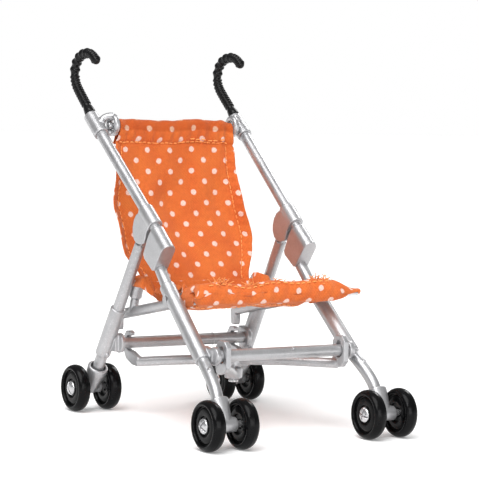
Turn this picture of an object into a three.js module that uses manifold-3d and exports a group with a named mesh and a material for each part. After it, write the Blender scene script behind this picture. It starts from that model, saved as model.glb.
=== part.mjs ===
// Doll stroller: two push tubes with cane grips, a folding rear frame, a sling
// seat between two rails, a cross brace and four pairs of twin wheels.
// Millimetres, +Z up, front towards -Y, symmetric about X = 0.
import * as THREE from 'three';
import Module from 'manifold-3d';
import { mergeVertices } from 'three/addons/utils/BufferGeometryUtils.js';

const wasm = await Module();
wasm.setup();

// ---- driving dimensions -------------------------------------------------
const Y_SHIFT = 3.07; // places the middle of the outline at Y = 0
const WHEEL_R = 5.4;
const WHEEL_HALF = 1.5;
const WHEEL_FACES = 18;
const AXLE_R = 0.8;
const FRONT_AXLE = [-37.3, WHEEL_R]; // y, z
const REAR_AXLE = [24.4, WHEEL_R];
const FRONT_PAIR_X = 20.1;
const REAR_PAIR_X = 19.5;
const PAIR_HALF = 4.05; // from the middle of a pair to the middle of a wheel
const TUBE_R = 1.3;
const SLEEVE_R = 1.72;
const FOLD_PIVOT = [2.1, 42.6]; // y, z of the rear leg's hinge pin
const SEAT_PIVOT = [-8.8, 28.6];
const FRONT_BAR = [-27.4, 18.4];
const REAR_BAR = [15.8, 16.5];
const ROD_TOP = [22.4, 66.0]; // backrest rod
const ROD_SEAT = [-20.0, 30.0]; // seat front rod
const ROD_R = 0.75;
const RAIL_X = 15.65;
const RAIL_HALF = 0.9;
const GAP = 0.3;

// ---- materials ----------------------------------------------------------
const silver = () => new THREE.MeshStandardMaterial({ color: 0xc9cacd, roughness: 0.38, metalness: 0.55 });
const steel = () => new THREE.MeshStandardMaterial({ color: 0xd8d8da, roughness: 0.22, metalness: 0.9 });
const black = () => new THREE.MeshStandardMaterial({ color: 0x141416, roughness: 0.25, metalness: 0.0 });
const orange = () => new THREE.MeshStandardMaterial({ color: 0xe7663a, roughness: 0.85, metalness: 0.0 });

// ---- helpers ------------------------------------------------------------
const V = (x, y, z) => new THREE.Vector3(x, y, z);
const clean = (g) => {
  g.deleteAttribute('normal');
  g.deleteAttribute('uv');
  return mergeVertices(g, 1e-5);
};
const solid = (geometry) => {
  const g = clean(geometry);
  return new wasm.Manifold(new wasm.Mesh({
    numProp: 3,
    vertProperties: new Float32Array(g.attributes.position.array),
    triVerts: new Uint32Array(g.index.array),
  }));
};
const geometryOf = (m) => {
  const mesh = m.getMesh();
  const g = new THREE.BufferGeometry();
  g.setAttribute('position', new THREE.BufferAttribute(new Float32Array(mesh.vertProperties), 3));
  g.setIndex(new THREE.BufferAttribute(new Uint32Array(mesh.triVerts), 1));
  g.computeVertexNormals();
  return g;
};
// cylinder or cone from a to b
const rodGeometry = (a, b, r0, r1 = r0, seg = 12) => {
  const d = new THREE.Vector3().subVectors(b, a);
  const g = new THREE.CylinderGeometry(r1, r0, d.length(), seg, 1);
  g.applyQuaternion(new THREE.Quaternion().setFromUnitVectors(V(0, 1, 0), d.clone().normalize()));
  const m = a.clone().add(b).multiplyScalar(0.5);
  g.translate(m.x, m.y, m.z);
  return g;
};
const rod = (a, b, r0, r1 = r0, seg = 12) => solid(rodGeometry(a, b, r0, r1, seg));
// outline in (y, z), extruded along X from x0 to x1
const plate = (outline, x0, x1, holes = []) => {
  const s = new THREE.Shape(outline.map(([y, z]) => new THREE.Vector2(y, z)));
  for (const [y, z, r, seg = 14] of holes) {
    const h = new THREE.Path();
    const pts = [];
    for (let i = 0; i < seg; i++) {
      const t = (-2 * Math.PI * i) / seg;
      pts.push(new THREE.Vector2(y + r * Math.cos(t), z + r * Math.sin(t)));
    }
    h.setFromPoints(pts);
    s.holes.push(h);
  }
  const g = new THREE.ExtrudeGeometry(s, { depth: Math.abs(x1 - x0), bevelEnabled: false });
  g.applyMatrix4(new THREE.Matrix4().makeBasis(V(0, 1, 0), V(0, 0, 1), V(1, 0, 0)));
  g.translate(Math.min(x0, x1), 0, 0);
  return solid(g);
};
const ringShape = (r, seg) => {
  const pts = [];
  for (let i = 0; i < seg; i++) pts.push(new THREE.Vector2(r * Math.cos((2 * Math.PI * i) / seg), r * Math.sin((2 * Math.PI * i) / seg)));
  return new THREE.Shape(pts);
};
const bend = (points, r, steps, seg = 10) => solid(new THREE.ExtrudeGeometry(ringShape(r, seg), {
  steps, bevelEnabled: false, extrudePath: new THREE.CatmullRomCurve3(points, false, 'centripetal'),
}));
// straight flat bar of the given height between two (y, z) points
const bar = (p, q, h, x0, x1) => {
  const dy = q[0] - p[0], dz = q[1] - p[1], l = Math.hypot(dy, dz);
  const ny = (-dz / l) * h / 2, nz = (dy / l) * h / 2;
  return plate([[p[0] - ny, p[1] - nz], [q[0] - ny, q[1] - nz], [q[0] + ny, q[1] + nz], [p[0] + ny, p[1] + nz]], x0, x1);
};
const lerp3 = (a, b, t) => a.clone().lerp(b, t);

const stroller = new THREE.Group();
stroller.name = 'doll_stroller';
const frame = new THREE.Group();
frame.position.y = Y_SHIFT;
stroller.add(frame);
const put = (name, shape, material, parent = frame) => {
  const g = shape.isBufferGeometry ? shape : geometryOf(shape);
  const mesh = new THREE.Mesh(g, material);
  mesh.name = name;
  parent.add(mesh);
  return mesh;
};

// push tube line: y, z along the side view, x leaning out towards the grip
const pushPoint = (s, y) => V(s * (18.45 + (y + 1.6) * 0.033), y, 45.4 + (y + 1.6) * 0.7934);

for (const [side, s] of [['left', -1], ['right', 1]]) {
  const inb = (d) => -s * d; // towards the middle

  // cane grip
  const gx = s * 19.4;
  const gripPath = [[24.4, 80.6], [26.9, 82.2], [29.5, 82.55], [32.2, 82.1], [34.3, 80.9], [35.4, 79.0], [35.5, 77.2],
    [34.7, 75.3], [32.6, 73.3], [29.7, 70.9], [27.6, 69.1]].map(([y, z]) => V(gx, y, z));
  put(`grip_${side}`, bend(gripPath, 1.15, 22, 10), black());

  // socket with the eyelet of the backrest rod
  const s0 = pushPoint(s, 27.1), s1 = pushPoint(s, 21.9);
  const eyeX0 = s * 16.0, eyeX1 = s * 18.3;
  let socket = rod(s1, s0, SLEEVE_R, SLEEVE_R - 0.15, 14);
  socket = socket.add(rod(V(eyeX0, ...ROD_TOP), V(eyeX1, ...ROD_TOP), 2.25, 2.25, 16));
  socket = socket.subtract(rod(pushPoint(s, 17), pushPoint(s, 21.88), TUBE_R + GAP, TUBE_R + GAP, 14));
  socket = socket.subtract(rod(V(s * 15.5, ...ROD_TOP), V(s * 17.5, ...ROD_TOP), ROD_R + GAP, ROD_R + GAP, 14));
  socket = socket.subtract(rod(lerp3(s1, s0, -0.1), lerp3(s1, s0, 0.34), 1.05, 1.05, 12));
  put(`handle_socket_${side}`, socket, silver());

  // push tube with a spigot in the socket and one in the bracket
  const t0 = pushPoint(s, 21.6), t1 = pushPoint(s, 1.65);
  let push = rod(t1, t0, TUBE_R, TUBE_R, 12);
  push = push.add(rod(pushPoint(s, 19), pushPoint(s, 23.0), 0.75, 0.75, 12));
  push = push.add(rod(pushPoint(s, 4), pushPoint(s, 0.2), 0.75, 0.75, 12));
  put(`push_tube_${side}`, push, silver());

  // hinge bracket: sleeve, forked ear for the rear leg and a neck down to the lock block
  const bx = s * 18.4;
  const b0 = pushPoint(s, 1.35), b1 = pushPoint(s, -2.9);
  let bracket = rod(b1, b0, SLEEVE_R, SLEEVE_R, 14);
  bracket = bracket.add(plate([[0.6, 47.1], [1.9, 47.3], [3.1, 46.7], [4.0, 45.4], [4.5, 43.9], [4.4, 42.4], [3.7, 41.0], [2.9, 40.45], [1.5, 40.15], [-0.7, 40.5], [-1.2, 41.3], [-1.75, 42.8], [-2.55, 44.2]], bx - 1.7, bx + 1.7));
  bracket = bracket.add(rod(V(bx, -2.51, 44.39), V(bx, -4.7, 42.65), 0.85, 0.85, 12));
  bracket = bracket.subtract(plate([[-0.1, 41.0], [0.1, 43.4], [1.0, 44.45], [2.6, 44.6], [5.5, 44.6], [5.5, 39.0], [-1.5, 39.0], [-1.5, 40.6]], bx - 0.95, bx + 0.95));
  bracket = bracket.subtract(rod(V(bx - 3, ...FOLD_PIVOT), V(bx + 3, ...FOLD_PIVOT), 0.8, 0.8, 12));
  bracket = bracket.subtract(rod(pushPoint(s, -0.1), pushPoint(s, 2.2), 1.05, 1.05, 12));
  bracket = bracket.subtract(rod(pushPoint(s, 1.36), pushPoint(s, 9), TUBE_R + GAP, TUBE_R + GAP, 14));
  put(`hinge_bracket_${side}`, bracket, silver());
  put(`hinge_pin_${side}`, rod(V(bx - 2.0, ...FOLD_PIVOT), V(bx + 2.0, ...FOLD_PIVOT), 0.5, 0.5, 12), steel());

  // lock block: rounded front in line with the bracket's sleeve, flat sides and a square lower end
  let block = wasm.Manifold.hull([rod(V(bx, -3.55, 43.35), V(bx, -8.75, 39.25), 1.7, 1.7, 14), plate([[-3.55, 43.35], [-8.75, 39.25], [-5.45, 34.9], [-4.75, 34.85], [-0.95, 37.3], [-0.6, 38.2], [-2.1, 41.3], [-2.75, 42.35]], bx - 1.6, bx + 1.6)]);
  block = block.subtract(rod(V(bx, -1.7, 45.03), V(bx, -4.94, 42.46), 1.15, 1.15, 12));
  block = block.subtract(rod(V(bx, -3.9, 36.69), V(bx, -7.67, 32.85), 1.05, 1.05, 12));
  put(`lock_block_${side}`, block, silver());

  // front leg: upper tube, outer sleeve and lower leg in one line
  const legTop = V(s * 18.4, -6.05, 34.5), sleeveTop = V(s * 18.5, -8.75, 31.75), sleeveEnd = V(s * 19.1, -25.95, 17.3);
  let upper = rod(lerp3(legTop, sleeveTop, -0.25), lerp3(legTop, sleeveTop, 0.9), TUBE_R, TUBE_R, 12);
  upper = upper.subtract(plate([[-9.3, 39.5], [-5.52, 34.5], [-4.7, 34.5], [0.5, 37.9], [0.5, 44], [-6, 46]], bx - 3, bx + 3));
  upper = upper.add(rod(lerp3(legTop, sleeveTop, -0.38), lerp3(legTop, sleeveTop, 1.5), 0.72, 0.72, 12));
  put(`front_upper_tube_${side}`, upper, silver());
  let sleeve = rod(sleeveEnd, sleeveTop, SLEEVE_R, SLEEVE_R, 14);
  sleeve = sleeve.add(plate([[-9.6, 31.6], [-10.2, 28.6], [-9.7, 27.4], [-8.6, 27.0], [-7.6, 27.5], [-7.2, 28.6], [-7.9, 31.0]], s * 17.25, s * 18.8));
  sleeve = sleeve.add(rod(V(s * 14.5, ...SEAT_PIVOT), V(s * 17.6, ...SEAT_PIVOT), 0.55, 0.55, 12));
  sleeve = sleeve.add(rod(V(s * 16.35, ...FRONT_BAR), V(s * 17.6, ...FRONT_BAR), 1.9, 1.9, 16));
  sleeve = sleeve.add(bar([-27.4, 18.5], [-23.6, 19.3], 2.4, s * 16.6, s * 17.7));
  sleeve = sleeve.subtract(rod(V(s * 15.0, ...FRONT_BAR), V(s * 17.35, ...FRONT_BAR), 1.05, 1.05, 12));
  sleeve = sleeve.subtract(rod(lerp3(legTop, sleeveTop, 0.8), lerp3(legTop, sleeveTop, 1.72), 1.05, 1.05, 12));
  sleeve = sleeve.subtract(rod(lerp3(sleeveTop, sleeveEnd, 0.9), lerp3(sleeveTop, sleeveEnd, 1.05), 1.05, 1.05, 12));
  put(`front_leg_sleeve_${side}`, sleeve, silver());
  const lowTop = lerp3(sleeveTop, sleeveEnd, 1.02);
  const lowPath = [lowTop, V(s * 19.35, -28.4, 15.5), V(s * 19.65, -30.9, 13.6), V(s * 19.9, -32.9, 11.6), V(s * 20.1, -33.9, 9.95)];
  let lower = bend(lowPath, TUBE_R, 10, 12);
  lower = lower.add(rod(lerp3(sleeveTop, sleeveEnd, 0.93), lerp3(sleeveTop, sleeveEnd, 1.06), 0.72, 0.72, 12));
  lower = lower.add(rod(V(s * 20.1, -33.7, 10.3), V(s * 20.1, -34.9, 8.5), 0.72, 0.72, 12));
  lower = lower.add(rod(V(s * 19.6, -29.4, 15.4), V(s * 19.65, -29.8, 16.15), 0.5, 0.4, 8));
  put(`front_lower_leg_${side}`, lower, silver());

  // front wheel carrier: tapered cup and axle tube
  const fx = s * FRONT_PAIR_X;
  const cupTop = V(fx, -34.0, 10.0).lerp(V(fx, ...FRONT_AXLE), 0.12);
  let carrier = rod(V(fx, ...FRONT_AXLE), cupTop, 1.35, 2.1, 14);
  carrier = carrier.add(rod(V(fx - 2.1, ...FRONT_AXLE), V(fx + 2.1, ...FRONT_AXLE), 1.5, 1.5, 14));
  carrier = carrier.subtract(rod(V(fx - 3, ...FRONT_AXLE), V(fx + 3, ...FRONT_AXLE), AXLE_R + GAP, AXLE_R + GAP, 12));
  carrier = carrier.subtract(rod(V(fx, -33.5, 10.9), V(fx, -35.15, 8.15), 1.05, 1.05, 12));
  put(`front_wheel_carrier_${side}`, carrier, silver());

  // rear leg: blade at the hinge, tube below
  const legDir = V(s * (REAR_PAIR_X - 18.4), REAR_AXLE[0] - FOLD_PIVOT[0], REAR_AXLE[1] - FOLD_PIVOT[1]);
  const rearAt = (t) => V(s * 18.4, ...FOLD_PIVOT).addScaledVector(legDir, t);
  const side2 = (t) => [FOLD_PIVOT[0] + (REAR_AXLE[0] - FOLD_PIVOT[0]) * t, FOLD_PIVOT[1] + (REAR_AXLE[1] - FOLD_PIVOT[1]) * t];
  let rear = rod(rearAt(0.0657), rearAt(0.47), TUBE_R, TUBE_R, 12);
  rear = rear.add(bar(side2(0), side2(0.1), 2.2, bx - 0.62, bx + 0.62));
  rear = rear.add(rod(V(bx - 0.62, ...FOLD_PIVOT), V(bx + 0.62, ...FOLD_PIVOT), 1.6, 1.6, 14));
  rear = rear.add(rod(rearAt(0.45), rearAt(0.873), 0.72, 0.72, 12));
  rear = rear.subtract(rod(V(bx - 3, ...FOLD_PIVOT), V(bx + 3, ...FOLD_PIVOT), 0.8, 0.8, 12));
  // rear sleeve with the disc that takes the rear crossbar
  let rsleeve = rod(rearAt(0.478), rearAt(0.775), SLEEVE_R, SLEEVE_R, 14);
  rsleeve = rsleeve.add(rod(V(s * 16.3, ...REAR_BAR), V(s * 17.3, ...REAR_BAR), 2.2, 2.2, 18));
  rsleeve = rsleeve.add(bar([REAR_BAR[0] - 0.6, REAR_BAR[1] + 0.2], side2(0.69), 2.2, s * 16.5, s * 18.6));
  rsleeve = rsleeve.add(rod(V(s * 19.2, 18.2, 14.2), V(s * 19.2, 17.3, 13.4), 0.6, 0.5, 8));
  rsleeve = rsleeve.subtract(rod(V(s * 15.0, ...REAR_BAR), V(s * 17.0, ...REAR_BAR), 1.0, 1.0, 12));
  rsleeve = rsleeve.subtract(rod(rearAt(0.4), rearAt(0.9), 1.03, 1.03, 12));
  put(`rear_leg_${side}`, rear, silver());
  put(`rear_sleeve_${side}`, rsleeve, silver());

  // rear foot: the leg's lower length, held in a tapered cup
  const rx = s * REAR_PAIR_X;
  const rearTop = rearAt(0.87), rearLow = V(rx, ...REAR_AXLE);
  let cup = rod(rearLow, rearTop, 1.35, 2.3, 14);
  cup = cup.add(rod(V(rx - 2.1, ...REAR_AXLE), V(rx + 2.1, ...REAR_AXLE), 1.45, 1.45, 14));
  cup = cup.subtract(rod(V(rx - 3, ...REAR_AXLE), V(rx + 3, ...REAR_AXLE), AXLE_R + GAP, AXLE_R + GAP, 12));
  cup = cup.subtract(rod(rearAt(0.83), rearAt(0.9), 1.6, 1.6, 12));
  let foot = rod(rearAt(0.784), rearAt(0.89), TUBE_R, TUBE_R, 12);
  foot = foot.subtract(rod(rearAt(0.74), rearAt(0.883), 1.02, 1.02, 12));
  put(`rear_foot_${side}`, foot, silver());
  put(`rear_wheel_carrier_${side}`, cup, silver());

  // wheels and axles
  const tread = WHEEL_R / Math.cos(Math.PI / WHEEL_FACES); // flats, not corners, touch the floor
  const profile = [[1.1, 0.62], [2.0, 0.62], [2.12, 1.12], [3.85, 1.12], [4.2, WHEEL_HALF], [4.95, 1.3], [tread, 0.5]];
  const wheelPoints = [
    ...profile.map(([r, h]) => new THREE.Vector2(r, h)),
    ...profile.slice().reverse().map(([r, h]) => new THREE.Vector2(r, -h)),
  ];
  wheelPoints.push(wheelPoints[0].clone());
  for (const [end, px, [ay, az]] of [['front', FRONT_PAIR_X, FRONT_AXLE], ['rear', REAR_PAIR_X, REAR_AXLE]]) {
    for (const [which, off] of [['outer', PAIR_HALF], ['inner', -PAIR_HALF]]) {
      const g = solid(new THREE.LatheGeometry(wheelPoints.slice().reverse(), WHEEL_FACES));
      const wheel = put(`wheel_${end}_${side}_${which}`, g, black());
      wheel.rotation.set(0, Math.PI / WHEEL_FACES, -Math.PI / 2, 'ZYX');
      wheel.position.set(s * (px + off), ay, az);
    }
    const half = PAIR_HALF + 0.62 + GAP;
    let axle = rod(V(-half - 0.05, 0, 0), V(half + 0.05, 0, 0), AXLE_R, AXLE_R, 12);
    for (const d of [-1, 1]) axle = axle.add(rod(V(d * half, 0, 0), V(d * (half + 0.75), 0, 0), 1.6, 1.0, 14));
    const pin = put(`${end}_axle_${side}`, axle, steel());
    pin.position.set(s * px, ay, az);
  }

  // seat rail: long bar with an upstand and the elbow socket that holds the seat corner
  const r0 = s * (RAIL_X - RAIL_HALF), r1 = s * (RAIL_X + RAIL_HALF);
  let rail = bar([18.9, 22.62], [-19.0, 29.95], 2.2, r0, r1);
  rail = rail.add(plate([[17.3, 23.3], [17.5, 19.4], [19.3, 19.4], [19.6, 23.3]], r0, r1));
  rail = rail.add(bar([11.5, 23.6], [10.4, 28.2], 2.0, s * 15.0, s * 16.3));
  rail = rail.add(rod(V(s * 15.65, 10.6, 27.6), V(s * 15.65, 8.4, 32.2), 1.45, 1.45, 14));
  rail = rail.add(rod(V(r0, ...ROD_SEAT), V(r1, ...ROD_SEAT), 1.7, 1.7, 14));
  rail = rail.subtract(rod(V(s * 14, ...ROD_SEAT), V(s * 18, ...ROD_SEAT), 1.0, 1.0, 12));
  rail = rail.add(rod(V(r0, ...SEAT_PIVOT), V(r1, ...SEAT_PIVOT), 1.55, 1.55, 14));
  rail = rail.subtract(rod(V(s * 14, ...SEAT_PIVOT), V(s * 18, ...SEAT_PIVOT), 0.86, 0.86, 12));
  put(`seat_rail_${side}`, rail, silver());
}

// ---- crossbars and rods -------------------------------------------------
const crossbar = (p, half, spigot, sr) => rod(V(-half, ...p), V(half, ...p), TUBE_R, TUBE_R, 14)
  .add(rod(V(-half - spigot, ...p), V(half + spigot, ...p), sr, sr, 12));
put('front_crossbar', crossbar(FRONT_BAR, 16.05, 1.0, 0.72), silver());
put('rear_crossbar', crossbar(REAR_BAR, 16.0, 0.7, 0.68), silver());
put('backrest_rod', rodGeometry(V(-17.2, ...ROD_TOP), V(17.2, ...ROD_TOP), ROD_R, ROD_R, 12), steel());
put('seat_front_rod', rodGeometry(V(-17.0, ...ROD_SEAT), V(24.1, ...ROD_SEAT), 0.7, 0.7, 12), steel());

// ---- cross brace --------------------------------------------------------
// Each link is a round bar with an eye plate on the front crossbar and a hook
// over the back of the rear crossbar; link a passes over link b at the middle.
const HUB = V(0, -7.0, 13.0);
const eyePlate = (s) => plate([[-29.7, 16.0], [-28.6, 14.9], [-26.2, 14.5], [-25.1, 15.6], [-25.0, 20.3], [-26.1, 21.6], [-28.6, 21.6], [-29.7, 20.4]], s * 14.35, s * 15.55)
  .subtract(rod(V(s * 13, ...FRONT_BAR), V(s * 17, ...FRONT_BAR), TUBE_R + GAP, TUBE_R + GAP, 14));
const hookPlate = (s) => plate([[11.6, 11.4], [14.4, 11.6], [17.2, 12.7], [18.3, 14.4], [18.4, 17.6], [17.3, 19.1], [15.6, 19.3], [15.0, 18.9], [15.05, 18.15],
  [16.3, 18.15], [17.15, 17.4], [17.4, 16.5], [17.15, 15.4], [16.3, 14.85], [14.4, 14.6], [11.6, 13.6]], s * 13.3, s * 14.5);
const link = (s, lift) => {
  // s is the side of the front end
  const f = V(s * 14.95, -26.4, 15.3), r = V(-s * 13.9, 12.3, 12.45);
  const path = [f, lerp3(f, r, 0.25), V(0, HUB.y, HUB.z + lift), lerp3(f, r, 0.75), r];
  path[1].z += lift * 0.35; path[3].z += lift * 0.35;
  return bend(path, 1.1, 12, 10).add(eyePlate(s)).add(hookPlate(-s));
};
const pinBore = rod(V(0, HUB.y, 8), V(0, HUB.y, 18), 0.8, 0.8, 12);
put('brace_link_a', link(1, 1.5).add(rod(V(0, HUB.y, 13.17), V(0, HUB.y, 15.6), 1.9, 1.9, 14)).subtract(pinBore), silver());
put('brace_link_b', link(-1, -1.5).add(rod(V(0, HUB.y, 10.4), V(0, HUB.y, 12.83), 1.9, 1.9, 14)).subtract(pinBore), silver());
put('brace_pin', rod(V(0, HUB.y, 9.9), V(0, HUB.y, 16.1), 0.5, 0.5, 12)
  .add(rod(V(0, HUB.y, 15.95), V(0, HUB.y, 16.4), 1.2, 0.9, 12))
  .add(rod(V(0, HUB.y, 9.6), V(0, HUB.y, 10.05), 1.1, 1.1, 12)), steel());

// ---- fabric -------------------------------------------------------------
const sheet = (line, thick, half) => {
  const up = [], down = [];
  line.forEach(([y, z], i) => {
    const a = line[Math.max(0, i - 1)], b = line[Math.min(line.length - 1, i + 1)];
    const l = Math.hypot(b[0] - a[0], b[1] - a[1]);
    const ny = (-(b[1] - a[1]) / l) * thick / 2, nz = ((b[0] - a[0]) / l) * thick / 2;
    up.push([y + ny, z + nz]); down.push([y - ny, z - nz]);
  });
  return plate([...up, ...down.reverse()], -half, half);
};
put('backrest_fabric', sheet([[21.6, 64.4], [20.6, 58], [19.6, 52], [18.0, 46.5], [15.6, 40.5], [12.6, 35.2], [11.6, 32.6]].reverse(), 0.9, 15.6), orange());
put('seat_fabric', sheet([[-18.4, 29.6], [-13, 27.2], [-7, 26.0], [0, 26.2], [5.5, 27.4], [9.0, 29.6]], 0.9, 13.9), orange());

export default stroller;
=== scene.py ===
import bpy, bmesh, math
import numpy as np
from mathutils import Vector, Matrix


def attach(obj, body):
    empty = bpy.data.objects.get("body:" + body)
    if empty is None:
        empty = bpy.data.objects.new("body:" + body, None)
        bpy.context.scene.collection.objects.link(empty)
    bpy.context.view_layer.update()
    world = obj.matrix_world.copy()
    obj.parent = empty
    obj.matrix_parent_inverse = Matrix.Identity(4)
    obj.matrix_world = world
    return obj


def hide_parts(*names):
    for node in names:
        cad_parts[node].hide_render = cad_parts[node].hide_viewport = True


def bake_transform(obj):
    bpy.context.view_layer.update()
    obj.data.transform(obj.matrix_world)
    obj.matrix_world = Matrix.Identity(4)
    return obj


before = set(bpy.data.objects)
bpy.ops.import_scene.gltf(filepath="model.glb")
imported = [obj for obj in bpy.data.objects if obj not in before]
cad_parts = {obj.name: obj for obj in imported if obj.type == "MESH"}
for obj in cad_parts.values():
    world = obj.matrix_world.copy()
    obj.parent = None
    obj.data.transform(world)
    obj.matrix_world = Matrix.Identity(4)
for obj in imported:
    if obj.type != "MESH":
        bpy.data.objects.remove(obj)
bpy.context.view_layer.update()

MM = 0.001
YS = 3.07  # the CAD's shift along Y, in mm
rng = np.random.default_rng(7)


def P(x, y, z):
    return np.array([x, y + YS, z], float)


# ------------------------------------------------------------------ camera
az, el, roll = math.radians(-31.303), math.radians(3.883), math.radians(1.2263)
back = np.array([math.sin(az) * math.cos(el), -math.cos(az) * math.cos(el), math.sin(el)])
right = np.array([math.cos(az), math.sin(az), 0.0])
up = np.cross(back, right)
r2 = math.cos(roll) * right + math.sin(roll) * up
u2 = -math.sin(roll) * right + math.cos(roll) * up
target = P(5.079, 0, 40.833)
cam = bpy.data.objects.new("camera", bpy.data.cameras.new("camera"))
cam.data.sensor_fit = "HORIZONTAL"
cam.data.sensor_width = 36
cam.data.lens = 2138.34 / 479 * 36
cam.data.clip_start = 0.01
cam.data.clip_end = 20
m = Matrix.Identity(4)
for i in range(3):
    m[i][0], m[i][1], m[i][2], m[i][3] = r2[i], u2[i], back[i], (target[i] + back[i] * 485.887) * MM
cam.matrix_world = m
bpy.context.scene.collection.objects.link(cam)
bpy.context.scene.camera = cam


# ------------------------------------------------------------------ materials
def new_mat(name):
    mt = bpy.data.materials.new(name)
    mt.use_nodes = True
    nt = mt.node_tree
    bsdf = next(n for n in nt.nodes if n.type == "BSDF_PRINCIPLED")
    return mt, nt, bsdf


def node(nt, kind, **kw):
    n = nt.nodes.new(kind)
    for k, v in kw.items():
        if k.startswith("i_"):
            key = k[2:]
            n.inputs[int(key) if key.isdigit() else key.replace("_", " ")].default_value = v
        else:
            setattr(n, k, v)
    return n


def ramp(nt, src, stops):
    r = nt.nodes.new("ShaderNodeValToRGB")
    e = r.color_ramp.elements
    while len(e) < len(stops):
        e.new(0.5)
    for el_, (p, c) in zip(e, stops):
        el_.position = p
        el_.color = (*c, 1) if len(c) == 3 else c
    nt.links.new(src, r.inputs[0])
    return r


def gray(v):
    return (v, v, v)


def plastic(name, base, dark, metallic, rough, coat, coat_rough, peel, flake):
    """Moulded plastic: mottled colour, worn edges, orange peel and faint scuffs."""
    mt, nt, b = new_mat(name)
    L = nt.links
    tc = node(nt, "ShaderNodeTexCoord")
    obj = tc.outputs["Object"]
    big = node(nt, "ShaderNodeTexNoise", i_Scale=190.0, i_Detail=4.0, i_Roughness=0.6)
    fine = node(nt, "ShaderNodeTexNoise", i_Scale=2600.0, i_Detail=2.0, i_Roughness=0.5)
    spk = node(nt, "ShaderNodeTexVoronoi", i_Scale=7000.0)
    for n in (big, fine, spk):
        L.new(obj, n.inputs["Vector"])
    col = ramp(nt, big.outputs["Fac"], [(0.3, dark), (0.7, base)])
    fl = ramp(nt, spk.outputs["Color"], [(0.0, gray(1 - flake)), (1.0, gray(1 + flake))])
    mul = node(nt, "ShaderNodeMix", data_type="RGBA", blend_type="MULTIPLY")
    mul.inputs[0].default_value = 1.0
    L.new(col.outputs[0], mul.inputs[6])
    L.new(fl.outputs[0], mul.inputs[7])
    geo = node(nt, "ShaderNodeNewGeometry")
    edge = ramp(nt, geo.outputs["Pointiness"], [(0.52, gray(0)), (0.62, gray(1))])
    wear = node(nt, "ShaderNodeMix", data_type="RGBA", blend_type="MIX")
    wear.inputs[7].default_value = (*[min(1, c * 1.18 + 0.01) for c in base], 1)
    half = node(nt, "ShaderNodeMath", operation="MULTIPLY")
    half.inputs[1].default_value = 0.5
    L.new(edge.outputs[0], half.inputs[0])
    L.new(half.outputs[0], wear.inputs[0])
    L.new(mul.outputs[2], wear.inputs[6])
    L.new(wear.outputs[2], b.inputs["Base Color"])
    b.inputs["Metallic"].default_value = metallic
    rr = node(nt, "ShaderNodeMapRange")
    rr.inputs["From Min"].default_value, rr.inputs["From Max"].default_value = 0.3, 0.7
    rr.inputs["To Min"].default_value, rr.inputs["To Max"].default_value = rough * 0.85, rough * 1.2
    L.new(big.outputs["Fac"], rr.inputs["Value"])
    L.new(rr.outputs[0], b.inputs["Roughness"])
    b.inputs["Coat Weight"].default_value = coat
    if metallic == 0.0:
        b.inputs["Specular IOR Level"].default_value = 0.09
    b.inputs["Coat Roughness"].default_value = coat_rough
    scr = node(nt, "ShaderNodeTexWave", i_Scale=420.0, i_Distortion=9.0, i_Detail=3.0)
    L.new(obj, scr.inputs["Vector"])
    scr_r = ramp(nt, scr.outputs["Fac"], [(0.0, gray(1)), (0.03, gray(0))])
    h = node(nt, "ShaderNodeMath", operation="MULTIPLY_ADD")
    h.inputs[1].default_value = -0.25
    L.new(scr_r.outputs[0], h.inputs[0])
    L.new(fine.outputs["Fac"], h.inputs[2])
    bump = node(nt, "ShaderNodeBump")
    bump.inputs["Strength"].default_value = peel
    bump.inputs["Distance"].default_value = 0.00006
    L.new(h.outputs[0], bump.inputs["Height"])
    L.new(bump.outputs[0], b.inputs["Normal"])
    return mt


SILVER = plastic("silver_paint", (0.46, 0.46, 0.47), (0.37, 0.37, 0.38), 0.66, 0.33, 0.35, 0.22, 0.45, 0.10)
STEEL = plastic("bright_pin", (0.60, 0.60, 0.61), (0.46, 0.46, 0.47), 0.80, 0.24, 0.3, 0.12, 0.25, 0.05)
BLACK = plastic("black_gloss", (0.0035, 0.0035, 0.004), (0.002, 0.002, 0.0022), 0.0, 0.22, 0.05, 0.06, 0.30, 0.15)
GRIP = plastic("black_grip", (0.007, 0.007, 0.0075), (0.005, 0.005, 0.005), 0.0, 0.28, 0.2, 0.12, 0.35, 0.15)


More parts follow.
